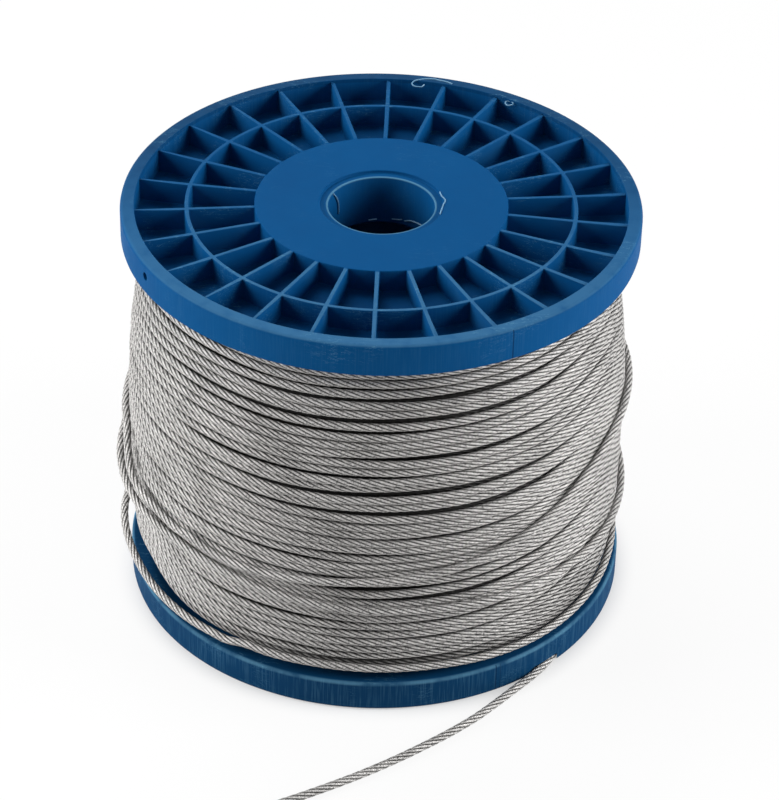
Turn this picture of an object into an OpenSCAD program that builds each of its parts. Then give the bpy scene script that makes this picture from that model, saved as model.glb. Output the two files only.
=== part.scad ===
// A blue plastic spool wound with steel wire rope. It stands on its lower
// flange, with its axis on +Z and its origin at the middle of its base.
// Azimuths are in degrees about +Z, from +X.

/* [Flanges] */
// Diameter of both flanges
flange_d = 185; // [170:1:260]
// Height of the spool, over both flanges
spool_h = 158; // [100:1:300]
// Thickness of a flange at its rim
flange_t = 12.5; // [10:0.5:16]
// Thickness of the rim wall
rim_t = 5; // [4:0.5:7]
// Chamfer along the rim's edges
rim_edge = 0.6; // [0.3:0.1:1.2]
// Thickness of the web plate, on the winding's side
web_t = 3; // [2:0.5:4]
// Number of ribs round a flange
rib_n = 26; // [12:1:36]
// Thickness of the ribs and of the middle ring
rib_t = 1.4; // [1:0.1:2.5]
// Depth of the ribs and of the hub disc below the rim's edge
rib_drop = 1.1; // [0.5:0.1:2]
// Diameter of the middle ring, at its centre line
mid_ring_d = 138; // [124:1:150]
// Azimuth of the first rib
rib_az = -91.2; // [-180:0.1:180]

/* [Hub and bore] */
// Diameter of the closed disc in the middle of a flange
hub_d = 90; // [80:1:98]
// Thickness of the hub disc and of the wall round it
hub_t = 2.5; // [2:0.5:4]
// Diameter of the bore
bore_d = 38; // [20:1:45]
// Wall of the boss round the bore
boss_t = 4; // [3:0.5:6]
// Length of the boss, from the hub disc's face
boss_h = 20; // [10:1:30]
// Width of the shallow step round the bore's mouth
step_w = 3; // [1:0.5:5]
// Depth of the shallow step
step_depth = 1.2; // [0.5:0.1:1.5]

/* [Barrel] */
// Outer diameter of the barrel
barrel_d = 116; // [108:1:120]
// Wall of the barrel
barrel_t = 3.5; // [2:0.5:5]
// Wall of the spigot that centres the barrel on a flange
spigot_t = 3; // [2:0.5:4]
// Length of the spigot
spigot_h = 6; // [4:1:12]
// Radial gap between spigot and barrel, and under the winding
fit_gap = 0.2; // [0.1:0.1:0.5]

/* [Rope] */
// Diameter of the wire rope
rope_d = 3; // [2:0.5:5]
// Diameter over the winding at its fullest
wind_d = 182; // [150:1:182]
// How much smaller its radius is at the upper flange
wind_drop_top = 8; // [0:0.5:12]
// How much smaller its radius is at the lower flange
wind_drop_low = 3.5; // [0:0.5:12]
// Step from one outer turn to the next
turn_step = 4.4; // [3:0.1:6]
// Gap between the winding's ends and the flanges
end_gap = 0.3; // [0.1:0.1:1]

/* [Rim holes] */
// Diameter of the tie hole through the upper flange's rim
tie_hole_d = 3; // [2:0.5:4]
// Depth of the tie hole's centre below the rim's edge
tie_hole_drop = 4.9; // [3:0.1:6]
// Azimuth of the tie hole
tie_hole_az = -150.5; // [-170:0.5:-110]
// Slack round the rope in the lead-out notch and its hole
lead_slack = 1.8; // [1.5:0.1:3]

/* [Hidden] */
$fn = 96;

flange_r = flange_d / 2;
rim_in_r = flange_r - rim_t;
hub_r = hub_d / 2;
bore_r = bore_d / 2;
barrel_r = barrel_d / 2;
barrel_in_r = barrel_r - barrel_t;
rope_r = rope_d / 2;
rib_top = flange_t - rib_drop;
rib_pitch = 360 / rib_n;

// The winding's outer turns, with the turns beneath showing between them
wind_r = wind_d / 2;
wind_in_r = barrel_r + fit_gap;
wind_z0 = flange_t + end_gap;
wind_h = spool_h - 2 * wind_z0;
turn_n = floor(wind_h / max(turn_step, rope_d));
turn_pitch = wind_h / turn_n;
turn_facets = [-75, -25, 25, 75];
nest_drop = sqrt(max(rope_d * rope_d - turn_pitch * turn_pitch / 4, 0));

// Routes of the rope where it lies free. The loose turns are given as
// azimuth, radius and height, the tail as X, Y and Z.
upper_route = [[188, 92.7, 71.5], [193, 93.6, 66.5], [198, 94.6, 61], [203, 94.5, 57.8],
               [211, 93.2, 56], [221, 92.7, 55]];
middle_route = [[160, 92.8, 62], [175, 92.8, 61.8], [181, 93.5, 60.4], [187, 95.5, 57.6],
                [194, 96, 54], [202, 95.5, 51.8], [211, 94.2, 50.7], [221, 93, 50.2],
                [232, 92.8, 49.3]];
lower_route = [[160, 92.2, 29], [175, 92.6, 28], [181, 93.8, 27], [187, 95.1, 24.5],
               [194, 94.7, 21.3], [203, 93.6, 18.4], [213, 92.8, 17.2], [224, 92, 16.6],
               [235, 91.6, 16.9]];
tail_route = [[70.2, -36.3, 11], [70.2, -39.4, 8.1], [70.1, -43, 4.9], [69.6, -47.6, 2.4],
              [68.9, -52.8, 1.6], [67.3, -58.6, 1.6], [64.6, -64.8, 1.6], [60, -71.7, 1.6],
              [53, -80, 1.6], [45.6, -88.5, 1.6], [37.8, -97, 1.6], [29, -105, 1.6],
              [19, -113, 1.6], [8, -121.1, 1.6], [-4, -129, 1.6], [-17, -136.6, 1.6],
              [-31, -144, 1.6], [-46, -150.6, 1.6], [-62, -156, 1.6]];
tube_sides = 8;
tube_steps = 2;

// The lead-out: a bent notch under the rim, each part of it given as its
// middle, turn and length, and a slanting hole in the web
notch_parts = [[[60.9, -70.4], 57, 20], [[67.9, -56.2], 72, 22]];
notch_w = rope_d + lead_slack;
notch_h = rope_d + lead_slack / 3;
web_hole_at = [70.2, -40.2, 7.4];
web_hole_turn = 90;
web_hole_tilt = 47;
web_hole_l = 16;

function polar(p) = [p[1] * cos(p[0]), p[1] * sin(p[0]), p[2]];
function unit(v) = v / norm(v);

// A point on the smooth curve through the route, at t between points i and i + 1
function curve_at(pts, i, t) =
    let (n = len(pts) - 1,
         a = pts[max(i - 1, 0)], b = pts[i], c = pts[min(i + 1, n)], d = pts[min(i + 2, n)])
    0.5 * (2 * b + (c - a) * t + (2 * a - 5 * b + 4 * c - d) * t * t
           + (3 * b - a - 3 * c + d) * t * t * t);

function smooth(pts, steps) = [
    for (i = [0 : len(pts) - 2]) for (k = [0 : steps - 1]) curve_at(pts, i, k / steps),
    pts[len(pts) - 1]];

// Radius of the winding's crests at height z
function crest_r(z) =
    let (s = (z - spool_h / 2) / (wind_h / 2))
    wind_r - (s > 0 ? wind_drop_top * s * s : wind_drop_low * pow(s, 6));

module ring(r_out, r_in, z0, z1) {
    rotate_extrude()
        ring_section(r_out, r_in, z0, z1);
}

module ring_section(r_out, r_in, z0, z1) {
    translate([r_in, z0])
        square([r_out - r_in, z1 - z0]);
}

module rim_section() {
    polygon([[rim_in_r, 0], [flange_r - rim_edge, 0], [flange_r, rim_edge],
             [flange_r, flange_t - rim_edge], [flange_r - rim_edge, flange_t],
             [rim_in_r + rim_edge, flange_t], [rim_in_r, flange_t - rim_edge]]);
}

// The turned section of one flange, with the winding's side at z = 0
module flange_section() {
    difference() {
        union() {
            rim_section();
            ring_section(rim_in_r + rim_t / 2, hub_r - hub_t, 0, web_t);
            ring_section(mid_ring_d / 2 + rib_t / 2, mid_ring_d / 2 - rib_t / 2, 0, rib_top);
            ring_section(hub_r, hub_r - hub_t, 0, rib_top);
            ring_section(hub_r - hub_t / 2, bore_r, rib_top - hub_t, rib_top);
            ring_section(bore_r + boss_t, bore_r, rib_top - boss_h, rib_top);
            ring_section(barrel_in_r - fit_gap, barrel_in_r - fit_gap - spigot_t,
                         -spigot_h, web_t / 2);
        }
        ring_section(bore_r + step_w, 0, rib_top - step_depth, flange_t);
    }
}

// One flange, with its ribs towards +Z
module flange() {
    union() {
        rotate_extrude() flange_section();
        for (i = [0 : rib_n - 1])
            rotate([0, 0, rib_az + i * rib_pitch])
                translate([hub_r - hub_t / 2, -rib_t / 2, web_t / 2])
                    cube([rim_in_r - hub_r + (hub_t + rim_t) / 2, rib_t, rib_top - web_t / 2]);
    }
}

module top_flange() {
    color("steelblue")
        difference() {
            translate([0, 0, spool_h - flange_t]) flange();
            translate([0, 0, spool_h - tie_hole_drop])
                rotate([0, 90, tie_hole_az])
                    translate([0, 0, rim_in_r - rim_t])
                        cylinder(d = tie_hole_d, h = 3 * rim_t);
        }
}

module bottom_flange() {
    color("steelblue")
        difference() {
            translate([0, 0, flange_t]) mirror([0, 0, 1]) flange();
            for (p = notch_parts)
                translate([p[0][0], p[0][1], 0])
                    rotate([0, 0, p[1]])
                        translate([-p[2] / 2, -notch_w / 2, -rope_d])
                            cube([p[2], notch_w, rope_d + notch_h]);
            translate(web_hole_at)
                rotate([0, web_hole_tilt, web_hole_turn])
                    cylinder(d = notch_w, h = web_hole_l);
        }
}

module barrel() {
    color("royalblue")
        ring(barrel_r, barrel_in_r, flange_t, spool_h - flange_t);
}

// The wound rope as one turned solid, with the outer turns on its face
module rope_winding() {
    crest_points = [
        for (i = [0 : turn_n - 1])
            let (z = wind_z0 + (i + 0.5) * turn_pitch)
            each concat(
                [for (a = turn_facets)
                    [crest_r(z) - rope_r * (1 - cos(a)), z + rope_r * sin(a)]],
                i < turn_n - 1 ? [[crest_r(z) - nest_drop, z + turn_pitch / 2]] : [])];
    z1 = wind_z0 + wind_h;
    color("silver")
        rotate_extrude()
            polygon(concat([[wind_in_r, wind_z0], [crest_r(wind_z0) - rope_d, wind_z0]],
                           crest_points,
                           [[crest_r(z1) - rope_d, z1], [wind_in_r, z1]]));
}

// A round rope swept along a route, closed at both ends
module rope_tube(route) {
    pts = smooth(route, tube_steps);
    n = len(pts);
    rings = [
        for (i = [0 : n - 1])
            let (dir = unit(pts[min(i + 1, n - 1)] - pts[max(i - 1, 0)]),
                 side = unit(cross(dir, [0, 0, 1])),
                 over = cross(side, dir))
            for (k = [0 : tube_sides - 1])
                let (a = (k + 0.5) * 360 / tube_sides)
                pts[i] + rope_r * (cos(a) * side + sin(a) * over)];
    walls = [
        for (i = [0 : n - 2]) for (k = [0 : tube_sides - 1])
            let (m = (k + 1) % tube_sides, b = i * tube_sides, c = b + tube_sides)
            each [[b + k, b + m, c + m], [b + k, c + m, c + k]]];
    first_cap = [[for (k = [tube_sides - 1 : -1 : 0]) k]];
    last_cap = [[for (k = [0 : tube_sides - 1]) (n - 1) * tube_sides + k]];
    color("silver")
        polyhedron(rings, concat(walls, first_cap, last_cap));
}

module loose_turn(route) {
    rope_tube([for (p = route) polar(p)]);
}

top_flange();
bottom_flange();
barrel();
rope_winding();
loose_turn(upper_route);  // loose_turn_upper
loose_turn(middle_route);  // loose_turn_middle
loose_turn(lower_route);  // loose_turn_lower
rope_tube(tail_route);  // rope_tail
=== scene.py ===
import math

import bmesh
import bpy
import numpy as np
from mathutils import Matrix, Vector


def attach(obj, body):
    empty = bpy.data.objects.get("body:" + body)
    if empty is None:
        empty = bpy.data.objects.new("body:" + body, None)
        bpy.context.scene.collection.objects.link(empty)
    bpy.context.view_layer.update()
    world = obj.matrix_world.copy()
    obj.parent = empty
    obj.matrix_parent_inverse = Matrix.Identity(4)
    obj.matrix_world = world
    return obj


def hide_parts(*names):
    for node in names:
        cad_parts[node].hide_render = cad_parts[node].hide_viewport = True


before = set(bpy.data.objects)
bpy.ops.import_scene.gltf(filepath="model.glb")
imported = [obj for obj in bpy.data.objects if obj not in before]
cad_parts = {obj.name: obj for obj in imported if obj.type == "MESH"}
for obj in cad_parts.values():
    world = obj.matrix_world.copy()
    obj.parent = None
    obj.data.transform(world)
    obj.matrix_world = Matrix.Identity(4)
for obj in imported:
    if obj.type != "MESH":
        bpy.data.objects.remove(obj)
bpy.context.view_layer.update()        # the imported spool, its winding and its rope tubes
mm = 0.001


# shader maths: a wire is one number in the shader, and plain expressions on it add Math nodes
class Wire:
    def __init__(self, paint, socket):
        self.paint = paint
        self.socket = socket

    def maths(self, operation, *others):
        return self.paint.maths(operation, self, *others)

    def __add__(self, other):
        return self.maths("ADD", other)

    def __radd__(self, other):
        return self.maths("ADD", other)

    def __sub__(self, other):
        return self.maths("SUBTRACT", other)

    def __rsub__(self, other):
        return self.paint.maths("SUBTRACT", other, self)

    def __mul__(self, other):
        return self.maths("MULTIPLY", other)

    def __rmul__(self, other):
        return self.maths("MULTIPLY", other)

    def __truediv__(self, other):
        return self.maths("DIVIDE", other)

    def __rtruediv__(self, other):
        return self.paint.maths("DIVIDE", other, self)

    def __pow__(self, other):
        return self.maths("POWER", other)

    def __abs__(self):
        return self.maths("ABSOLUTE")

    def above(self, edge, soft):
        # 0 below the edge and 1 above it, over a soft width
        return self.paint.node("MapRange", {"interpolation_type": "SMOOTHSTEP"},
                               {"Value": self, "From Min": edge - soft, "From Max": edge + soft}).out()

    def below(self, edge, soft):
        return 1 - self.above(edge, soft)


class Node:
    def __init__(self, paint, node):
        self.paint = paint
        self.node = node

    def out(self, name=0):
        return Wire(self.paint, self.node.outputs[name])


# the nodes of one material, or of the world
class Paint:
    def __init__(self, owner):
        self.owner = owner
        self.owner.use_nodes = True
        self.tree = owner.node_tree
        self.tree.nodes.clear()

    def node(self, kind, settings=None, values=None):
        made = self.tree.nodes.new("ShaderNode" + kind)
        for key, value in (settings or {}).items():
            setattr(made, key, value)
        for key, value in (values or {}).items():
            socket = made.inputs[key]
            if isinstance(value, Wire):
                self.tree.links.new(value.socket, socket)
            elif socket.type == "RGBA":
                socket.default_value = (*value, 1)
            else:
                socket.default_value = value
        return Node(self, made)

    def maths(self, operation, *numbers):
        return self.node("Math", {"operation": operation}, dict(enumerate(numbers))).out()

    def mix(self, amount, first, second):
        return self.node("Mix", {"data_type": "RGBA"}, {0: amount, 6: first, 7: second}).out(2)

    def place(self):
        return self.node("TexCoord").out("Object")

    def split(self, vector):
        parts = self.node("SeparateXYZ", None, {"Vector": vector})
        return parts.out("X"), parts.out("Y"), parts.out("Z")

    def join(self, x=0.0, y=0.0, z=0.0):
        return self.node("CombineXYZ", None, {"X": x, "Y": y, "Z": z}).out()

    def noise(self, where, scale, detail):
        return self.node("TexNoise", None, {"Vector": where, "Scale": scale, "Detail": detail,
                                            "Roughness": 0.55}).out("Fac")

    def stretched(self, where, scale):
        return self.node("Mapping", None, {"Vector": where, "Scale": scale}).out()

    def relief(self, height, strength, deep):
        return self.node("Bump", None, {"Strength": strength, "Distance": deep, "Height": height}).out()

    def lookedAt(self, mirrored):
        # 1 for the eye and through glass, and a share of it in shiny things
        rays = self.node("LightPath")
        direct = rays.out("Is Camera Ray").maths("MAXIMUM", rays.out("Is Glossy Ray") * mirrored)
        return direct.maths("MAXIMUM", rays.out("Is Transmission Ray"))

    def surface(self, values):
        shader = self.node("BsdfPrincipled", None, values)
        self.node("OutputMaterial", None, {"Surface": shader.out()})
        return self.owner


def newPaint(name):
    return Paint(bpy.data.materials.new(name))


def colour(red, green, blue):
    # a screen colour of 0 to 255 as linear light
    parts = [v / 255 for v in (red, green, blue)]
    return tuple(v / 12.92 if v <= 0.04045 else ((v + 0.055) / 1.055) ** 2.4 for v in parts)


def turned(degrees, axis):
    return Matrix.Rotation(math.radians(degrees), 4, axis)


def addObject(name, data):
    made = bpy.data.objects.new(name, data)
    bpy.context.scene.collection.objects.link(made)
    return made


def objectFrom(body, name, material):
    # closes a mesh that was built up by hand
    data = bpy.data.meshes.new(name)
    body.to_mesh(data)
    body.free()
    data.materials.append(material)
    return addObject(name, data)


def standFor(made, node):
    # the spool has no moving part, so every piece rides on its root
    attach(made, "root")
    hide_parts(node)


def settle(made):
    # the object's modifiers become its mesh
    graph = bpy.context.evaluated_depsgraph_get()
    done = bpy.data.meshes.new_from_object(made.evaluated_get(graph))
    made.modifiers.clear()
    made.data = done


print("camera, lamps and floor")
view = {
    "target": (-0.6 * mm, 0, 71 * mm),
    "distance": 1107 * mm,
    "elevation": 35.28,
    "roll": 1.18,
    "lens": 134.3,
    "shift": 0.0172,
    "near": 50 * mm,
}
lamps = {
    "left": {"at": (-1.2, -0.15, 0.62), "size": 0.75, "power": 18},
    "right": {"at": (1.2, -0.2, 0.55), "size": 0.7, "power": 18.5},
    "above": {"at": (-0.35, 0.75, 1.3), "size": 0.8, "power": 10.5},
}
room = {
    "lampsAim": (0, 0, 80 * mm),
    "light": 0.16,
    "floor": (0.82, 0.82, 0.82), "half": 3.0,
    # how white the floor is to the eye, how much of that shows in the steel, and where it starts
    "glow": 0.9, "mirrored": 0.3, "shade": 92 * mm, "shadeOver": 9 * mm,
}


def addCamera():
    data = bpy.data.cameras.new("camera")
    data.lens = view["lens"]
    data.shift_x = view["shift"]
    data.clip_start = view["near"]
    camera = addObject("camera", data)
    tilt = math.radians(view["elevation"])
    away = Vector((0, -math.cos(tilt), math.sin(tilt))) * view["distance"]
    turn = turned(90 - view["elevation"], "X") @ turned(view["roll"], "Z")
    camera.matrix_world = Matrix.Translation(Vector(view["target"]) + away) @ turn
    bpy.context.scene.camera = camera


def addLamps():
    for name, lamp in lamps.items():
        data = bpy.data.lights.new(name, "AREA")
        data.energy = lamp["power"]
        data.size = lamp["size"]
        made = addObject(name, data)
        made.location = lamp["at"]
        aim = Vector(room["lampsAim"]) - made.location
        made.rotation_euler = aim.to_track_quat("-Z", "Y").to_euler()


def addWorld():
    world = bpy.data.worlds.new("room")
    bpy.context.scene.world = world
    paint = Paint(world)
    strength = paint.lookedAt(1.0) * (1 - room["light"]) + room["light"]
    shine = paint.node("Background", None, {"Color": (1, 1, 1), "Strength": strength}).out()
    paint.node("OutputWorld", None, {"Surface": shine})


def addFloor():
    paint = newPaint("pale_floor")
    plain = paint.node("BsdfDiffuse", None, {"Color": room["floor"]}).out()
    white = paint.node("Emission", None, {"Color": (1, 1, 1), "Strength": 1.0}).out()
    # white to the eye, but shaded close under the spool
    x, y = paint.split(paint.place())[:2]
    clear = ((x ** 2 + y ** 2) ** 0.5).above(room["shade"], room["shadeOver"])
    amount = paint.lookedAt(room["mirrored"]) * clear * room["glow"]
    both = paint.node("MixShader", None, {0: amount, 1: plain, 2: white}).out()
    paint.node("OutputMaterial", None, {"Surface": both})
    half = room["half"]
    data = bpy.data.meshes.new("floor")
    data.from_pydata([(-half, -half, 0), (half, -half, 0), (half, half, 0), (-half, half, 0)],
                     [], [(0, 1, 2, 3)])
    data.materials.append(paint.owner)
    addObject("floor", data)


addCamera()
addLamps()
addWorld()
addFloor()
bpy.context.scene.view_settings.view_transform = "Standard"


print("finishes")
plasticLook = {
    "tone": colour(8, 80, 133),
    "deep": colour(5, 65, 115),
    "dull": colour(14, 44, 66),
    "scuffAndHighlight": colour(96, 148, 176),
    # line is the mould's closing line, and also the painted shade on the rim's top at the back
    "line": colour(6, 34, 66),
    "rough": 0.6, "gloss": 0.03, "relief": 0.07 * mm,
    "seamTurn": math.radians(-61), "seamGap": 0.02,
    "rimOutside": 92.5 * mm, "rimInside": 87.5 * mm, "disc": 45.5 * mm, "boreLip": 19.3 * mm,
    "top": 158 * mm, "low": 20 * mm, "brow": 12 * mm,
}
steelLook = {
    "bright": colour(206, 204, 202),
    "grey": colour(41, 40, 39),
    "greaseAndShade": colour(12, 12, 11),
    "rough": 0.5, "metal": 0.85, "relief": 0.24 * mm, "contrast": 2.6,
    "wires": 28,
    # the height and radius of the winding's crest, and how far below it the painted shade begins
    "middle": 79 * mm, "half": 66.2 * mm, "full": 91 * mm, "dropTop": 8 * mm,
    "deepFrom": 1.6 * mm, "deepOver": 1.0 * mm,
}
deepLook = {
    # the hidden turns' dark and pale colours are painted shade
    "dark": colour(28, 26, 24),
    "pale": colour(70, 66, 62),
    "rough": 0.6, "metal": 0.6, "relief": 0.5 * mm, "rowPitch": 4.3 * mm,
}
flashAndGlintLook = {"tone": colour(98, 144, 176), "rough": 0.5}


def bluePlastic(name):
    look = plasticLook
    paint = newPaint(name)
    where = paint.place()
    x, y, z = paint.split(where)
    facing = abs(paint.split(paint.node("NewGeometry").out("Normal"))[2])
    radius = (x * x + y * y) ** 0.5
    turn = y.maths("ARCTAN2", x)
    top = z.above(look["top"] - 1.6 * mm, 0.2 * mm)
    low = z.below(look["low"], 2 * mm)
    pastDisc = radius.above(look["disc"], 0.4 * mm)

    flow = paint.noise(where, 24, 4)
    cloud = paint.noise(where, 170, 3)
    tone = paint.mix(flow * 0.7 + cloud * 0.3, look["deep"], look["tone"])
    # the lower flange is greyer and darker
    tone = paint.mix(low * 0.6, tone, look["dull"])

    # painted shade: the rim's top is darker at the back
    backRimShade = top * radius.above(look["rimInside"], 0.4 * mm) * (y / radius).above(0.1, 0.5)
    tone = paint.mix(backRimShade * (0.8 - cloud * 0.4), tone, look["line"])
    # tops of the rim and ribs are rubbed paler than the disc in the middle
    rubbed = top * facing.above(0.6, 0.2) * pastDisc
    rubbed = rubbed * (cloud.above(0.3, 0.25) * 0.5 + 0.3)
    rubbed = rubbed * (0.25 + (y / radius).below(-0.3, 0.7) * 0.75)
    # a painted highlight round the bore's lip
    lipHighlight = abs(radius - look["boreLip"]).below(0.35 * mm, 0.2 * mm)
    lipHighlight = lipHighlight * z.above(look["top"] - 2.7 * mm, 0.2 * mm)

    # fine upright streaks on the rims, and thin scratches in patches
    streaks = paint.noise(paint.join(turn * 90, z * 30, radius * 20), 2.0, 3).above(0.56, 0.1)
    streaks = streaks * (1 - facing) * (low * 0.34 + 0.12) * paint.noise(where, 60, 2).above(0.4, 0.2)
    lines = paint.noise(paint.stretched(where, (14, 60, 110)), 7, 4)
    scratches = abs(lines - 0.5).below(0.007, 0.005)
    patch = paint.noise(where, 52, 2).above(0.56, 0.06) * (0.2 + pastDisc * 0.8)
    nicks = paint.noise(where, 620, 2).above(0.72, 0.03) * patch
    scratches = (scratches * patch + nicks * 0.5).maths("MINIMUM", 1)
    # a painted highlight along the lower rim's upper edge, in patches
    brow = radius.above(look["rimOutside"] - 0.8 * mm, 0.4 * mm)
    brow = brow * abs(z - look["brow"]).below(0.8 * mm, 0.5 * mm)
    brow = brow * (paint.noise(where, 90, 3).above(0.44, 0.16) * 0.9 + 0.1)
    # scratches, streaks and rubbing are wear, the lip and the brow painted highlights
    wearAndHighlight = scratches * 0.35 + streaks * 0.35 + rubbed * 0.34 + lipHighlight * 0.6 + brow * 0.5
    wearAndHighlight = wearAndHighlight.maths("MINIMUM", 1)
    tone = paint.mix(wearAndHighlight, tone, look["scuffAndHighlight"])

    # the mould's closing line down both rims, doubled on the lower one
    seam = abs(turn - look["seamTurn"]).below(0.0026, 0.0012)
    second = abs(turn - look["seamTurn"] - look["seamGap"]).below(0.002, 0.001) * low
    seam = (seam + second * 0.7) * radius.above(look["rimOutside"] - 0.5 * mm, 0.1 * mm)
    tone = paint.mix(seam * 0.7, tone, look["line"])

    height = paint.noise(where, 1500, 2) * 0.2 + cloud * 0.3 - seam - scratches * 0.3
    return paint.surface({
        "Base Color": tone,
        "Roughness": look["rough"] + (flow - 0.5) * 0.16 + wearAndHighlight * 0.22,
        "Specular IOR Level": look["gloss"],
        "Normal": paint.relief(height, 0.4, look["relief"]),
    })


def ropeSteel(name):
    look = steelLook
    paint = newPaint(name)
    where = paint.place()
    x, y, z = paint.split(where)
    along, around = paint.split(paint.node("UVMap", {"uv_map": "ropeMap"}).out())[:2]
    crown = paint.node("Attribute", {"attribute_name": "crown"}).out("Fac")

    # the wires of a strand run level with the rope where they show, broken into short bright lengths: their
    # glints and speckle are painted highlights in the colour
    wires = (around * (2 * math.pi * look["wires"])).maths("SINE") * 0.5 + 0.5
    breaks = paint.noise(paint.join(along * 900, around * 28), 1.0, 2)
    speck = paint.noise(where, 1500, 2).above(0.38, 0.24)
    patches = paint.noise(where, 55, 3)
    blotch = paint.noise(where, 800, 2)
    glint = wires * 0.1 + speck * 0.4 + breaks * 0.25 + blotch * 0.25
    glint = (glint - 0.5) * look["contrast"] + 0.5
    tone = paint.mix(glint, look["grey"], look["bright"])
    # painted shade lies between the strands, and dirt in a few patches
    dirtAndShade = crown.below(0.55, 0.5) * (0.3 + blotch.above(0.3, 0.35) * 0.65)
    dirtAndShade = dirtAndShade + patches.below(0.42, 0.1) * 0.12
    # what lies under the outer turns' crests gets painted shade, less at the right, where it lies open to the
    # light
    radius = (x * x + y * y) ** 0.5
    up = (z - look["middle"]) * (1 / look["half"])
    crest = look["full"] - up.maths("MAXIMUM", 0) ** 2 * look["dropTop"]
    deep = (crest - radius).above(look["deepFrom"], look["deepOver"])
    openToLight = (x / radius).above(0.3, 0.35)
    dirtAndShade = (dirtAndShade + deep * (0.9 - openToLight * 0.55)).maths("MINIMUM", 0.95)
    tone = paint.mix(dirtAndShade, tone, look["greaseAndShade"])
    return paint.surface({
        "Base Color": tone,
        "Metallic": look["metal"],
        "Roughness": look["rough"] + (speck - 0.5) * 0.2 + dirtAndShade * 0.2,
        "Normal": paint.relief(wires * 0.35 + breaks * 0.4 + speck * 0.6, 0.75, look["relief"]),
    })


def deepSteel(name):
    look = deepLook
    paint = newPaint(name)
    where = paint.place()
    z = paint.split(where)[2]
    # painted shade: the hidden turns are dark, paler along their rows
    rows = (z * (2 * math.pi / look["rowPitch"])).maths("SINE") * 0.5 + 0.5
    return paint.surface({
        "Base Color": paint.mix(rows * 0.6 + paint.noise(where, 300, 3) * 0.4, look["dark"], look["pale"]),
        "Metallic": look["metal"],
        "Roughness": look["rough"] + rows * 0.1,
        "Normal": paint.relief(rows, 0.8, look["relief"]),
    })


bluePaint = bluePlastic("blue_plastic")
steelPaint = ropeSteel("steel_rope")
deepPaint = deepSteel("deep_steel_rope")
flashAndGlintPaint = newPaint("pale_flash_and_glints").surface({"Base Color": flashAndGlintLook["tone"],
                                             "Roughness": flashAndGlintLook["rough"]})


print("flanges")
height = 158.0
flange = {
    "radius": 92.5, "thick": 12.5, "rimIn": 87.5, "web": 3.0,
    "ribs": 26, "ribWidth": 1.4, "ribTop": 11.4, "firstRib": -91.2,
    "ringIn": 68.3, "ringOut": 69.7,
    "hub": 45.0, "hubIn": 42.5, "hubDisc": 2.5,
    "bore": 19.0, "boss": 23.0, "bossDeep": 20.0, "step": 22.0, "stepDeep": 1.2,
    "spigotOut": 54.3, "spigotIn": 51.3, "spigotDeep": 6.0,
    "cellSteps": 6,
    # rounding of the rim's edges and of all the others, on edges that turn by more than so much
    "rimEdge": 1.5, "softEdge": 0.32, "edgeSteps": 3, "edgeTurn": 0.6,
}
tieHole = {"turn": -150.5, "drop": 4.9, "across": 3.0, "deep": 16, "sides": 24}
leadOut = {
    # the two parts of the bent notch, each its middle, turn and length
    "notch": [((60.9, -70.4), 57, 20), ((67.9, -56.2), 72, 22)],
    "width": 3.8, "top": 3.6,
    "holeAt": (70.2, -40.2, 7.4), "holeTurn": 90, "holeTilt": 47, "holeLength": 16, "sides": 32,
}


def flangeRows():
    # from the bore out: radius, and the heights outside it of ribs, cells and inner side
    f = flange
    low = f["ribTop"] - f["bossDeep"]
    under = f["ribTop"] - f["hubDisc"]
    stepped = f["ribTop"] - f["stepDeep"]
    top = f["ribTop"]
    return [
        (f["bore"], stepped, stepped, low),
        (f["step"], top, top, low),
        (f["boss"], top, top, under),
        (f["hubIn"], top, top, 0),
        (f["hub"], top, f["web"], 0),
        (f["spigotIn"], top, f["web"], -f["spigotDeep"]),
        (f["spigotOut"], top, f["web"], 0),
        (f["ringIn"], top, top, 0),
        (f["ringOut"], top, f["web"], 0),
        (f["rimIn"], f["thick"], f["thick"], 0),
        (f["radius"], None, None, None),
    ]


def columnTurns(radius):
    # azimuths of one flange's grid lines at a radius: a rib's two sides, then steps across a cell
    half = math.asin(flange["ribWidth"] / 2 / radius)
    pitch = 2 * math.pi / flange["ribs"]
    start = math.radians(flange["firstRib"])
    steps = flange["cellSteps"]
    turns = []
    for rib in range(flange["ribs"]):
        middle = start + rib * pitch
        turns.append(middle - half)
        turns += [middle + half + (pitch - 2 * half) * k / steps for k in range(steps)]
    return turns


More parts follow.
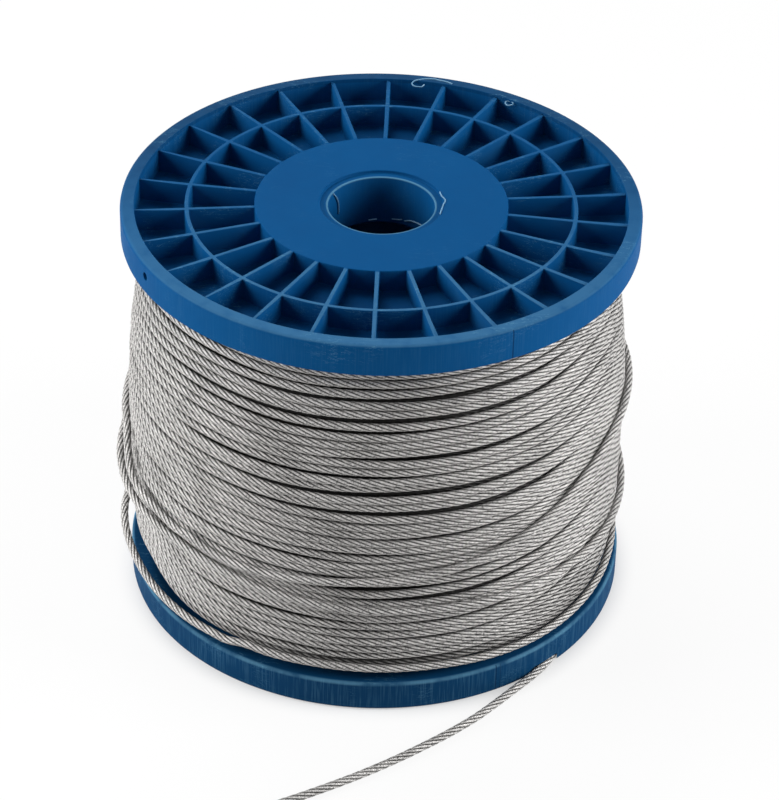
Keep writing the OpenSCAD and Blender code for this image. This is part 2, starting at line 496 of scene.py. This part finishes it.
def flangeGrid(flip):
    # flat patches at their own heights on both sides, with walls between patches that differ
    rows = flangeRows()
    turnsAt = [columnTurns(row[0]) for row in rows]
    rings = len(rows) - 1
    perRib = flange["cellSteps"] + 1
    columns = flange["ribs"] * perRib
    body = bmesh.new()
    corners = {}

    def corner(row, column, z):
        column %= columns
        key = (row, column, round(z, 4))
        if key not in corners:
            radius = rows[row][0]
            turn = turnsAt[row][column]
            up = flange["thick"] - z if flip else height - flange["thick"] + z
            at = (radius * math.cos(turn) * mm, radius * math.sin(turn) * mm, up * mm)
            corners[key] = body.verts.new(at)
        return corners[key]

    def face(points):
        body.faces.new(points[::-1] if flip else points)

    def topOf(row, column):
        return rows[row][1] if column % columns % perRib == 0 else rows[row][2]

    def outerWall(row, column, bottom, head):
        # on the outer side of a patch, facing out where the patch is the higher
        a, b = sorted((bottom, head))
        quad = [corner(row + 1, column, a), corner(row + 1, column + 1, a),
                corner(row + 1, column + 1, b), corner(row + 1, column, b)]
        face(quad if head > bottom else quad[::-1])

    def sideWall(row, column, beyond, top):
        a, b = sorted((beyond, top))
        quad = [corner(row, column + 1, a), corner(row, column + 1, b),
                corner(row + 1, column + 1, b), corner(row + 1, column + 1, a)]
        face(quad if top > beyond else quad[::-1])

    for row in range(rings):
        low = rows[row][3]
        for column in range(columns):
            top = topOf(row, column)
            face([corner(row, column, top), corner(row + 1, column, top),
                  corner(row + 1, column + 1, top), corner(row, column + 1, top)])
            face([corner(row, column, low), corner(row, column + 1, low),
                  corner(row + 1, column + 1, low), corner(row + 1, column, low)])
            if row + 1 < rings:
                walls = [(topOf(row + 1, column), top), (low, rows[row + 1][3])]
            else:
                walls = [(low, top)]
            for bottom, head in walls:
                if bottom != head:
                    outerWall(row, column, bottom, head)
            if row == 0:
                face([corner(0, column, low), corner(0, column, top),
                      corner(0, column + 1, top), corner(0, column + 1, low)])
            beyond = topOf(row, column + 1)
            if beyond != top:
                sideWall(row, column, beyond, top)
    bmesh.ops.recalc_face_normals(body, faces=body.faces)
    return body


def buildFlange(name, node, flip):
    body = flangeGrid(flip)
    weight = body.edges.layers.float.new("bevel_weight_edge")
    rimRadius = flange["radius"] * mm
    for edge in body.edges:
        if len(edge.link_faces) == 2 and edge.calc_face_angle() > flange["edgeTurn"]:
            onRim = all(abs(v.co.xy.length - rimRadius) < 1e-6 for v in edge.verts)
            edge[weight] = 1.0 if onRim else flange["softEdge"] / flange["rimEdge"]
    made = objectFrom(body, name, bluePaint)
    soft = made.modifiers.new("soft edges", "BEVEL")
    soft.limit_method = "WEIGHT"
    soft.width = flange["rimEdge"] * mm
    soft.segments = flange["edgeSteps"]
    soft.harden_normals = True
    for patch in made.data.polygons:
        patch.use_smooth = True
    settle(made)
    standFor(made, node)
    print(name, len(made.data.polygons), "faces")
    return made


def cutAway(made, primitive, matrix, **sizes):
    body = bmesh.new()
    primitive(body, matrix=matrix, **sizes)
    cutter = objectFrom(body, "cutter", bluePaint)
    cut = made.modifiers.new("cut", "BOOLEAN")
    cut.object = cutter
    cut.solver = "EXACT"
    settle(made)
    bpy.data.objects.remove(cutter)


def drill(made, matrix, across, deep, sides):
    cutAway(made, bmesh.ops.create_cone, matrix, cap_ends=True, segments=sides,
            radius1=across / 2 * mm, radius2=across / 2 * mm, depth=deep * mm)


def cutTieHole(made):
    turn = math.radians(tieHole["turn"])
    radius = flange["radius"]
    middle = Vector((radius * math.cos(turn), radius * math.sin(turn), height - tieHole["drop"]))
    matrix = Matrix.Translation(middle * mm) @ turned(tieHole["turn"], "Z") @ turned(90, "Y")
    drill(made, matrix, tieHole["across"], tieHole["deep"], tieHole["sides"])


def cutLeadOut(made):
    # the notch under the rim, then the slanting hole up to the turns
    for at, turn, length in leadOut["notch"]:
        size = Vector((length, leadOut["width"], 2 * leadOut["top"])) * mm
        matrix = Matrix.Translation(Vector((*at, 0)) * mm) @ turned(turn, "Z")
        cutAway(made, bmesh.ops.create_cube, matrix @ Matrix.Diagonal((*size, 1)), size=1)
    along = turned(leadOut["holeTurn"], "Z") @ turned(leadOut["holeTilt"], "Y")
    half = Matrix.Translation((0, 0, leadOut["holeLength"] / 2 * mm))
    matrix = Matrix.Translation(Vector(leadOut["holeAt"]) * mm) @ along @ half
    drill(made, matrix, leadOut["width"], leadOut["holeLength"], leadOut["sides"])


cutTieHole(buildFlange("top_flange_moulding", "top_flange", False))
cutLeadOut(buildFlange("bottom_flange_moulding", "bottom_flange", True))


print("winding")
winding = {
    "full": 91.0, "dropTop": 8.0, "dropLow": 3.5, "bottom": 12.8, "top": 145.2, "bore": 58.2,
    "slices": 72, "seed": 4,
    # azimuths along the rope where the outer turns start and end, how deep their middle lies under
    # the crest, and over how many degrees behind the spool one climbs to the next
    "firstTurn": -70, "lastTurn": 12640, "depth": 1.2, "climb": 150,
    # the turns under them
    "underTurns": 38, "underFrom": 15.2, "underTo": 142.8, "nest": 2.0,
    "underWaver": (13, 0.5), "underRise": 0.4,
    # how far a turn strays from its height, each over so many slices, and from its depth
    "waver": ((4, 0.3), (8, 0.42), (25, 0.25)), "sink": (7, 0.45), "proud": 0.5,
    # azimuths, and how much deeper the turns lie there
    "deeper": ([0, 30, 290, 325, 360], [1, 0, 0, 1, 1]),
}
# heights of the outer turns where they pass the front
outerHeights = [
    16, 19.4, 22.9, 26.2, 29.4, 32.9, 36.6, 40.4, 44.2, 47.9, 51.5, 56, 59.6, 63, 66.8, 70.8, 74.4, 77.8,
    81.4, 85.2, 88.7, 92.1, 95.6, 99.2, 102.8, 106.5, 110.2, 113.8, 117.4, 121, 124.8, 128.4, 132, 135.6,
    139.2, 142.6,
]
rises = {
    # azimuths, and how far the turns climb there at the right
    "right": ([0, 60, 290, 300, 310, 320, 330, 340, 352, 360], [11, 0, 0, 0.8, 2.2, 5, 8, 10.5, 11, 11]),
    # heights, and the share of that climb which they keep
    "rightShare": ([15, 19.4, 23, 26.2, 32, 36, 72, 92, 130, 146],
                   [0, 0.1, 0.3, 0.5, 0.8, 1, 1, 0.6, 0.45, 0]),
    # and how far the lowest stand off the flange at the left
    "left": ([60, 120, 150, 205, 212, 218, 226, 236], [0, 0.8, 1, 1, 0.5, 0.2, 0.04, 0]),
    "leftMost": 8.5, "leftBelow": 46, "leftOver": 26,
}
rope = {
    "radius": 1.5, "lay": 22.0, "strands": 6,
    # radii round one strand as shares of the rope's, and how far out on a strand each lies
    "fine": (1.0, 0.95, 0.78, 0.95), "fineCrown": (1.0, 0.8, 0.0, 0.8), "fineRings": 12,
    "coarse": (1.0, 0.72), "coarseCrown": (0.8, 0.0), "coarseRings": 7,
    "endCrown": 0.3, "rowLength": 9.6,
}
# azimuth, radius and height of the free stretches, and X, Y and Z of the tail
looseRoutes = {
    "lower": [(160, 92.2, 29), (175, 92.6, 28), (181, 93.8, 27), (187, 95.1, 24.5), (194, 94.7, 21.3),
              (203, 93.6, 18.4), (213, 92.8, 17.2), (224, 92, 16.6), (235, 91.6, 16.9)],
    "middle": [(160, 92.8, 62), (175, 92.8, 61.8), (181, 93.5, 60.4), (187, 95.5, 57.6), (194, 96, 54),
               (202, 95.5, 51.8), (211, 94.2, 50.7), (221, 93, 50.2), (232, 92.8, 49.3)],
    "upper": [(188, 92.7, 71.5), (193, 93.6, 66.5), (198, 94.6, 61), (203, 94.5, 57.8),
              (211, 93.2, 56), (221, 92.7, 55)],
}
tailRoute = [(70.2, -36.3, 11), (70.2, -39.4, 8.1), (70.1, -43, 4.9), (69.6, -47.6, 2.4), (68.9, -52.8, 1.6),
             (67.3, -58.6, 1.6), (64.6, -64.8, 1.6), (60, -71.7, 1.6), (53, -80, 1.6), (45.6, -88.5, 1.6),
             (37.8, -97, 1.6), (29, -105, 1.6), (19, -113, 1.6), (8, -121.1, 1.6), (-4, -129, 1.6),
             (-17, -136.6, 1.6), (-31, -144, 1.6), (-46, -150.6, 1.6), (-62, -156, 1.6)]
# azimuths along the rope where each free stretch starts and ends
freeCuts = {"lower": (160, 235), "middle": (520, 592), "upper": (908, 941)}
# where the last turns run between those stretches, as azimuth along the rope and height
lastWay = [(-20, 15), (20, 15.5), (60, 17), (110, 22), (150, 28), (245, 18), (255, 18.5), (285, 17.4),
           (300, 15.6), (310, 14.9), (320, 14.8), (330, 15), (345, 16), (360, 18.5), (400, 26), (440, 36),
           (480, 50), (512, 60), (600, 48.7), (610, 48), (622, 46.8), (640, 45.8), (662, 44), (680, 42.5),
           (700, 41), (720, 41), (770, 50), (820, 62), (860, 72), (900, 73), (950, 54.2), (960, 54.8),
           (970, 56), (980, 57.6), (990, 59), (1005, 61.5), (1016, 64.5), (1026, 68.5), (1035, 73),
           (1040, 76.5), (1050, 82.5), (1060, 86), (1070, 88), (1085, 88), (1100, 87), (1130, 85), (1160, 82)]
lastTurn = {
    # how far the last turns stand over the crest, and how much less of it the right side takes,
    # above a height and over so much more
    "over": 1.6, "rightLess": 2, "rightFrom": 16, "rightOver": 12,
    # azimuths, and how much closer they lie there behind the spool
    "closer": ([20, 50, 130, 155], [0, 1, 1, 0]),
    # both ends dive into the winding, over so many degrees
    "dive": 6, "diveOver": 35,
    # how far from a fixed stretch they are free to settle, and how often they are smoothed
    "freeOver": 25, "smoothHeight": 2, "smoothRadius": 6,
}
settling = {
    "steps": 240, "pull": 0.03, "pullLast": 0.02, "home": 0.07, "smooth": 0.35,
    # turns touch at this share of their width, and push each other off so hard, less so in a crowd
    "touch": 0.95, "push": 1.6, "crowd": 0.6, "pushes": 2,
    "edge": 1.5, "tuck": 3.0,
}
slope = 360 / winding["slices"]        # degrees from one slice to the next


def crestRadius(z):
    s = (z - height / 2) / ((winding["top"] - winding["bottom"]) / 2)
    return winding["full"] - np.where(s > 0, winding["dropTop"] * s ** 2, winding["dropLow"] * s ** 6)


def between(a, b, c, d, t):
    # the smooth curve from b to c, with a before them and d after
    return 0.5 * (2 * b + (c - a) * t + (2 * a - 5 * b + 4 * c - d) * t ** 2
                  + (3 * b - a - 3 * c + d) * t ** 3)


def curveThrough(points, steps):
    p = np.array(points, float)
    p = np.vstack([p[:1], p, p[-1:]])
    found = [between(*p[k:k + 4], t) for k in range(len(p) - 3) for t in np.arange(steps) / steps]
    return np.array(found + [p[-1]])


def roundPoints(route):
    # azimuth, radius and height as X, Y and Z
    return [(r * math.cos(math.radians(a)), r * math.sin(math.radians(a)), z) for a, r, z in route]


def polarRoute(route):
    # a free stretch's curve as azimuth, radius and height
    line = curveThrough(roundPoints(route), 12)
    turn = np.degrees(np.arctan2(line[:, 1], line[:, 0])) % 360
    return turn, np.hypot(line[:, 0], line[:, 1]), line[:, 2]


def drift(random, count, step, size):
    # a random walk that stays near zero and changes over step slices
    knots = random.normal(0, size, count // step + 4)
    at = np.arange(count) / step
    k = at.astype(int)
    t = at - k
    t = t * t * (3 - 2 * t)
    return knots[k] * (1 - t) + knots[k + 1] * t


def rise(turn, z):
    # the turns climb at the right, and the lowest stand off the flange at the left
    a = turn % 360
    right = np.interp(a, *rises["right"]) * np.interp(z, *rises["rightShare"])
    left = np.interp(a, *rises["left"]) * rises["leftMost"]
    return right + left * np.clip((rises["leftBelow"] - z) / rises["leftOver"], 0, 1)


def deeperAt(slices):
    return np.interp(slices % winding["slices"] * slope, *winding["deeper"])


def layUnder(random):
    # the turns that show through the gaps, laid the other way; each line is its slices and its
    # points as radius and height
    slices = -np.arange(winding["underTurns"] * winding["slices"])
    z = np.linspace(winding["underTo"], winding["underFrom"], len(slices))
    z = z + drift(random, len(z), *winding["underWaver"]) + rise(slices * slope, z) * winding["underRise"]
    radius = crestRadius(z) - rope["radius"] - winding["nest"] - deeperAt(slices)
    return slices, np.stack([radius, z], 1)


def layOuter(random):
    # each turn stays level round the front and climbs to the next behind
    slices = np.arange(int(winding["firstTurn"] / slope), int(winding["lastTurn"] / slope))
    lap, part = np.divmod(slices * slope, 360)
    part = np.clip(part / winding["climb"], 0, 1)
    level = np.interp(lap + part * part * (3 - 2 * part), np.arange(len(outerHeights)), outerHeights)
    z = level + rise(slices * slope, level)
    for step, size in winding["waver"]:
        z = z + drift(random, len(z), step, size)
    depth = winding["depth"] + deeperAt(slices) + drift(random, len(z), *winding["sink"])
    return slices, np.stack([crestRadius(z) - depth, z], 1)


def eased(values):
    return (values[:-2] + 2 * values[1:-1] + values[2:]) / 4


def layLast():
    # the last turns lie over the others and run clear of them on the free stretches
    last = lastTurn
    slices = np.arange(int(lastWay[0][0] / slope), int(lastWay[-1][0] / slope) + 1)
    turns = slices * slope
    z = np.interp(turns, [p[0] for p in lastWay], [p[1] for p in lastWay])
    for again in range(last["smoothHeight"]):
        z[1:-1] = eased(z)
    radius = crestRadius(z) + last["over"]
    less = last["rightLess"] * deeperAt(slices)
    radius = radius - less * np.clip((z - last["rightFrom"]) / last["rightOver"], 0, 1)
    radius = radius - np.interp(turns % 360, *last["closer"])
    ends = np.minimum(turns - turns[0], turns[-1] - turns) / last["diveOver"]
    dive = np.clip(1 - ends, 0, 1)
    radius = radius - last["dive"] * dive
    held = dive > 0
    for lap, route in enumerate(looseRoutes.values()):
        turn, away, up = polarRoute(route)
        turn = turn + 360 * lap
        inside = (turns >= turn[0] - 1) & (turns <= turn[-1] + 1)
        radius[inside] = np.interp(turns[inside], turn, away)
        z[inside] = np.interp(turns[inside], turn, up)
        held |= inside
    # the free stretches ease into the turns that lie on the winding
    for again in range(last["smoothRadius"]):
        radius[1:-1] = np.where(held[1:-1], radius[1:-1], eased(radius))
    apart = np.abs(turns[:, None] - turns[held][None, :]).min(1)
    return slices, np.stack([radius, z], 1), np.clip(apart / last["freeOver"], 0, 1)


def sliceTable(slices):
    # which points each slice of the winding cuts, one row for a slice, filled out with -1
    count = winding["slices"]
    slices = slices % count
    order = np.argsort(slices, kind="stable")
    perSlice = np.bincount(slices, minlength=count)
    table = np.full((count, perSlice.max()), -1)
    table[np.arange(perSlice.max()) < perSlice[:, None]] = order
    return table


def pressApart(points, free, table):
    # turns that touch in a slice move off each other, as far as they are free
    real = table >= 0
    both = real[:, :, None] & real[:, None, :] & ~np.eye(table.shape[1], dtype=bool)
    here = points[table]
    gap = here[:, :, None, :] - here[:, None, :, :]
    far = np.sqrt((gap ** 2).sum(-1)) + 1e-9
    push = np.clip(settling["touch"] * 2 * rope["radius"] - far, 0, 1) * both
    share = free[table]
    weight = share[:, :, None] / np.maximum(share[:, :, None] + share[:, None, :], 1e-6)
    move = (gap * (push / far * weight)[..., None]).sum(2)
    hits = np.maximum((push > 0).sum(2), 1)
    move = move * (settling["push"] / (1 + settling["crowd"] * hits))[..., None]
    shift = np.zeros_like(points)
    shift[table[real]] = move[real]
    points += shift


def straighten(line, target, share):
    # a turn keeps its run: what strays from the target is smoothed along the rope
    off = line.copy()
    off[:, 1] -= target
    middle = off.copy()
    middle[2:-2] = (off[:-4] + off[4:] + 2 * off[1:-3] + 2 * off[3:-1]) / 6
    line += (middle - off) * settling["smooth"] * share[:, None]


def windRope():
    # every turn as radius and height at even azimuths, settled against its neighbours
    random = np.random.default_rng(winding["seed"])
    under, underPoints = layUnder(random)
    outer, outerPoints = layOuter(random)
    last, lastPoints, lastFree = layLast()
    a, b = len(outer), len(outer) + len(last)
    points = np.vstack([outerPoints, lastPoints, underPoints])
    target = points[:, 1].copy()
    free = np.ones(len(points))
    free[a:b] = lastFree
    free[b:] = 0
    for edge in (0, 1, a - 1, a - 2):
        free[edge] = 0
        points[edge, 0] -= settling["tuck"]
    pull = np.full(len(points), settling["pull"])
    pull[a:b] = settling["pullLast"]
    table = sliceTable(np.concatenate([outer, last, under]))
    most = winding["proud"] - winding["depth"] - deeperAt(outer)
    low, high = winding["bottom"] + settling["edge"], winding["top"] - settling["edge"]
    for step in range(settling["steps"]):
        ease = min(1.0, 2 * (1 - step / settling["steps"]))
        points[:, 0] -= pull * free * ease
        points[:, 1] += (target - points[:, 1]) * settling["home"] * free * ease
        for run in (slice(0, a), slice(a, b)):
            straighten(points[run], target[run], free[run])
        for again in range(settling["pushes"]):
            pressApart(points, free, table)
        points[:, 1] = np.where(free > 0, np.clip(points[:, 1], low, high), points[:, 1])
        points[:a, 0] = np.minimum(points[:a, 0], crestRadius(points[:a, 1]) + most)
    return {"outer": (outer * slope, points[:a]), "last": (last * slope, points[a:b]),
            "under": (under * slope, points[b:])}


def lengthsAlong(line):
    return np.concatenate([[0], np.cumsum(np.linalg.norm(np.diff(line, axis=0), axis=1))])


def easeLine(turns, points, every):
    # cubic steps between the slices, as X, Y and Z, and their azimuths
    n = len(points)
    at = np.linspace(0, n - 1, (n - 1) * every + 1)
    k = np.clip(at.astype(int), 0, n - 2)
    t = (at - k)[:, None]
    values = np.column_stack([turns, points])
    line = between(values[np.maximum(k - 1, 0)], values[k], values[k + 1],
                   values[np.minimum(k + 2, n - 1)], t)
    turn = np.radians(line[:, 0])
    return np.column_stack([line[:, 1] * np.cos(turn), line[:, 1] * np.sin(turn), line[:, 2]]), line[:, 0]


def evenSteps(line, step):
    # the line at even lengths along itself
    length = lengthsAlong(line)
    count = max(int(round(length[-1] / step)), 2)
    at = np.linspace(0, length[-1], count + 1)
    return np.column_stack([np.interp(at, length, line[:, k]) for k in range(3)]), at


def lineAxes(line, out):
    # at each point of a line, the way outwards and the way across it
    ahead = np.gradient(line, axis=0)
    ahead /= np.linalg.norm(ahead, axis=1)[:, None]
    out = out - ahead * (out * ahead).sum(1)[:, None]
    out /= np.linalg.norm(out, axis=1)[:, None]
    return out, np.cross(ahead, out)


def tubeFaces(rings, sides):
    # the tube's quads, and a fan of triangles on each end round its own middle point
    j = np.arange(rings - 1)[:, None]
    k = np.arange(sides)[None, :]
    m = (k + 1) % sides
    quads = [j * sides + k, j * sides + m, (j + 1) * sides + m, (j + 1) * sides + k]
    quads = np.stack(quads, -1).reshape(-1, 4)
    base, first = (rings - 1) * sides, rings * sides
    k = np.arange(sides)
    m = (k + 1) % sides
    caps = [np.column_stack([np.full(sides, first), m, k]),
            np.column_stack([np.full(sides, first + 1), base + k, base + m])]
    return quads, np.vstack(caps)


def tubeMaps(along, rings, sides):
    # one map runs along the rope for the material, and one lays the rope out in rows for a picture
    ring, side = np.meshgrid(np.arange(rings - 1), np.arange(sides), indexing="ij")
    rows = max(int(round(math.sqrt((along[-1] - along[0]) / rope["rowLength"]))), 1)
    perRow = -(-(rings - 1) // rows)
    row = (ring // perRow).reshape(-1, 1)
    ringAt = np.stack([ring, ring, ring + 1, ring + 1], -1).reshape(-1, 4)
    sideAt = np.stack([side, side + 1, side + 1, side], -1).reshape(-1, 4)
    x = (ringAt - row * perRow) / perRow * 0.998 + 0.001
    y = (row + 0.03 + sideAt / sides * 0.9) / (rows + 0.3)
    lie = np.stack([along[ringAt] * mm, along[ringAt] / rope["lay"] + sideAt / sides], -1)
    lie = np.vstack([lie.reshape(-1, 2), np.tile([along[0] * mm, 0.0], (sides * 6, 1))])
    # the ends are small discs in the last row
    a = 2 * math.pi * np.arange(sides + 1) / sides
    discs = []
    for middle in (0.25, 0.75):
        for q in range(sides):
            discs += [(0, 0, middle), (math.cos(a[q + 1]), math.sin(a[q + 1]), middle),
                      (math.cos(a[q]), math.sin(a[q]), middle)]
    discs = np.array(discs)
    spot = 0.1 / (rows + 0.3)
    ends = np.column_stack([discs[:, 2] + discs[:, 0] * spot,
                            (rows + 0.15) / (rows + 0.3) + discs[:, 1] * spot])
    return {"OFBake": np.vstack([np.stack([x, y], -1).reshape(-1, 2), ends]), "ropeMap": lie}


def fillMesh(data, points, quads, caps):
    data.vertices.add(len(points))
    data.vertices.foreach_set("co", points.astype(np.float32).ravel())
    corners = np.concatenate([quads.ravel(), caps.ravel()])
    data.loops.add(len(corners))
    data.loops.foreach_set("vertex_index", corners.astype(np.int32))
    sizes = np.concatenate([np.full(len(quads), 4), np.full(len(caps), 3)])
    starts = np.concatenate([[0], np.cumsum(sizes)[:-1]])
    data.polygons.add(len(sizes))
    data.polygons.foreach_set("loop_start", starts.astype(np.int32))
    data.polygons.foreach_set("loop_total", sizes.astype(np.int32))
    data.update(calc_edges=True)
    data.validate()


def sharpenEnds(data, rings, sides):
    # the cut ends stay crisp, while the tube is smooth
    pairs = np.empty(2 * len(data.edges), np.int32)
    data.edges.foreach_get("vertices", pairs)
    pairs = pairs.reshape(-1, 2)
    base, last = (rings - 1) * sides, rings * sides
    rims = (pairs < sides).all(1) | ((pairs >= base) & (pairs < last)).all(1)
    data.attributes.new("sharp_edge", "BOOLEAN", "EDGE").data.foreach_set("value", rims)
    smooth = np.arange(len(data.polygons)) < (rings - 1) * sides
    data.polygons.foreach_set("use_smooth", smooth)


def layRope(name, node, line, start, kind="fine", upright=False):
    # a closed tube whose corners follow the strands; start is how far along the rope it begins
    section = np.tile(rope[kind], rope["strands"])
    crown = np.tile(rope[kind + "Crown"], rope["strands"])
    sides = len(section)
    line, along = evenSteps(line, rope["lay"] / rope[kind + "Rings"])
    along = along + start
    rings = len(line)
    outwards = np.tile([0.0, 0.0, 1.0], (rings, 1)) if upright else line * (1, 1, 0)
    out, over = lineAxes(line, outwards)
    share = along[:, None] / rope["lay"] + np.arange(sides)[None, :] / sides
    angle = 2 * math.pi * share
    reach = rope["radius"] * section[None, :]
    points = line[:, None, :] + (reach * np.cos(angle))[..., None] * out[:, None, :] \
        + (reach * np.sin(angle))[..., None] * over[:, None, :]
    points = np.vstack([points.reshape(-1, 3), line[:1], line[-1:]]) * mm

    data = bpy.data.meshes.new(name)
    fillMesh(data, points, *tubeFaces(rings, sides))
    for key, values in tubeMaps(along, rings, sides).items():
        layer = data.uv_layers.new(name=key)
        layer.data.foreach_set("uv", values.astype(np.float32).ravel())
    crowns = np.concatenate([np.tile(crown, rings), [rope["endCrown"]] * 2]).astype(np.float32)
    data.attributes.new("crown", "FLOAT", "POINT").data.foreach_set("value", crowns)
    sharpenEnds(data, rings, sides)
    data.materials.append(steelPaint)
    made = addObject(name, data)
    standFor(made, node)
    return made


def layOuterTurns(turns, points):
    # four runs, so that no piece is too heavy
    line = easeLine(turns, points, 4)[0]
    length = lengthsAlong(line)
    runs = ("low", "middle", "high", "top")
    share = len(line) // len(runs)
    for k, name in enumerate(runs):
        first = k * share
        last = first + share + 1 if k < len(runs) - 1 else len(line)
        layRope("winding_turns_" + name, "rope_winding", line[first:last], length[first])


def layLastTurns(turns, points):
    # cut where they lie free, at azimuths along the rope
    line, turn = easeLine(turns, points, 4)
    length = lengthsAlong(line)
    marks = [0]
    for first, last in freeCuts.values():
        marks += [int(np.searchsorted(turn, first)), int(np.searchsorted(turn, last))]
    marks.append(len(line) - 1)
    names = list(freeCuts)
    for k in range(len(marks) - 1):
        part = line[marks[k]:marks[k + 1] + 1]
        if k % 2 == 0:
            layRope("winding_last_turn_%d" % (k // 2 + 1), "rope_winding", part, length[marks[k]])
            continue
        name = names[k // 2]
        piece = layRope("loose_turn_%s_rope" % name, "loose_turn_" + name, part, length[marks[k]])
        path = [tuple(map(float, p)) for p in part[::3] * mm]
        if len(part) % 3 != 1:
            path.append(tuple(map(float, part[-1] * mm)))


wound = windRope()
layOuterTurns(*wound["outer"])
layRope("winding_turns_under", "rope_winding", easeLine(*wound["under"], 3)[0], 0, "coarse")
layLastTurns(*wound["last"])


print("tail")
tailLine = curveThrough(tailRoute, 10)
tail = layRope("rope_tail_rope", "rope_tail", tailLine, 0, upright=True)


print("flash on the top flange")
flashAndGlints = {
    "sides": 5, "steps": 5, "lean": (0.2, 0.1, 1.0),
    # thin strips left by the mould, each its thickness and its azimuths, radii and heights; the three low on
    # the bore's back wall are pale strips standing for the bright lines on the boss's lower edge, painted
    # highlights
    "strips": [
        (0.5, [(73, 88.2, 158.1), (74.8, 88.9, 158.2), (76.7, 89.4, 158.1), (78, 89.5, 158.2),
               (80.2, 88.9, 158.1), (82.2, 87.3, 158), (82.9, 86, 157.4), (82.2, 84.8, 157),
               (80.4, 84.8, 157), (79.8, 86, 157.3)]),
        (0.5, [(57.1, 87.8, 157), (56.2, 87.2, 157), (56.2, 86, 156.8), (57.1, 85.2, 156.6),
               (58, 86, 156.8), (58, 87.2, 157), (57.3, 87.7, 157)]),
        (0.5, [(156, 18.9, 155.3), (152, 18.6, 153.6), (148, 18.6, 151.5), (145.7, 18.6, 149),
               (145.3, 18.7, 145.2)]),
        (0.7, [(104, 18.8, 138), (100, 18.7, 138.1), (95, 18.8, 138.2)]),
        (0.5, [(78, 18.8, 138.6), (72, 18.7, 138.8), (66, 18.8, 139.2)]),
        (0.7, [(63, 18.9, 138.8), (56, 18.6, 139.8), (47, 18.6, 140.2), (39, 18.8, 140.2)]),
        (0.5, [(20, 22, 157), (13, 21.9, 157), (5, 22.7, 157), (-3, 21.9, 157), (-20, 22, 157)]),
    ],
}


def buildFlashAndGlints():
    sides = flashAndGlints["sides"]
    turns = [2 * math.pi * k / sides for k in range(sides)]
    body = bmesh.new()
    for thick, route in flashAndGlints["strips"]:
        line = curveThrough(roundPoints(route), flashAndGlints["steps"])
        ahead = np.gradient(line, axis=0)
        ahead /= np.linalg.norm(ahead, axis=1)[:, None]
        side = np.cross(ahead, flashAndGlints["lean"])
        side /= np.linalg.norm(side, axis=1)[:, None]
        over = np.cross(side, ahead)
        rings = [[body.verts.new((p + thick / 2 * (math.cos(t) * u + math.sin(t) * v)) * mm) for t in turns]
                 for p, u, v in zip(line, side, over)]
        for a, b in zip(rings[:-1], rings[1:]):
            for k in range(sides):
                body.faces.new((a[k], a[(k + 1) % sides], b[(k + 1) % sides], b[k]))
        body.faces.new(rings[0][::-1])
        body.faces.new(rings[-1])
    bmesh.ops.recalc_face_normals(body, faces=body.faces)
    standFor(objectFrom(body, "top_flange_flash_and_glints", flashAndGlintPaint), "top_flange")


buildFlashAndGlints()


print("winding's inside")
core = {
    "step": 3.0, "around": 96,
    # how deep it lies under the lower turns, and how much deeper at the foot, below a height
    "under": 2.1, "footLess": 3.0, "footBelow": 24, "footOver": 9,
}


def buildCore():
    # what lies under the turns: a turned solid with its bore
    z = np.arange(winding["bottom"], winding["top"] + 0.1, core["step"])
    z[-1] = winding["top"]
    foot = core["footLess"] * np.clip((core["footBelow"] - z) / core["footOver"], 0, 1)
    outside = crestRadius(z) - core["under"] - winding["nest"] - foot
    profile = [(winding["bore"], winding["bottom"]), *zip(outside, z), (winding["bore"], winding["top"])]
    around = core["around"]
    body = bmesh.new()
    grid = []
    for k in range(around):
        x, y = math.cos(2 * math.pi * k / around), math.sin(2 * math.pi * k / around)
        grid.append([body.verts.new((r * x * mm, r * y * mm, up * mm)) for r, up in profile])
    for k in range(around):
        a, b = grid[k], grid[(k + 1) % around]
        for j in range(len(profile)):
            m = (j + 1) % len(profile)
            body.faces.new((a[j], b[j], b[m], a[m]))
    bmesh.ops.recalc_face_normals(body, faces=body.faces)
    standFor(objectFrom(body, "winding_core", deepPaint), "rope_winding")


buildCore()
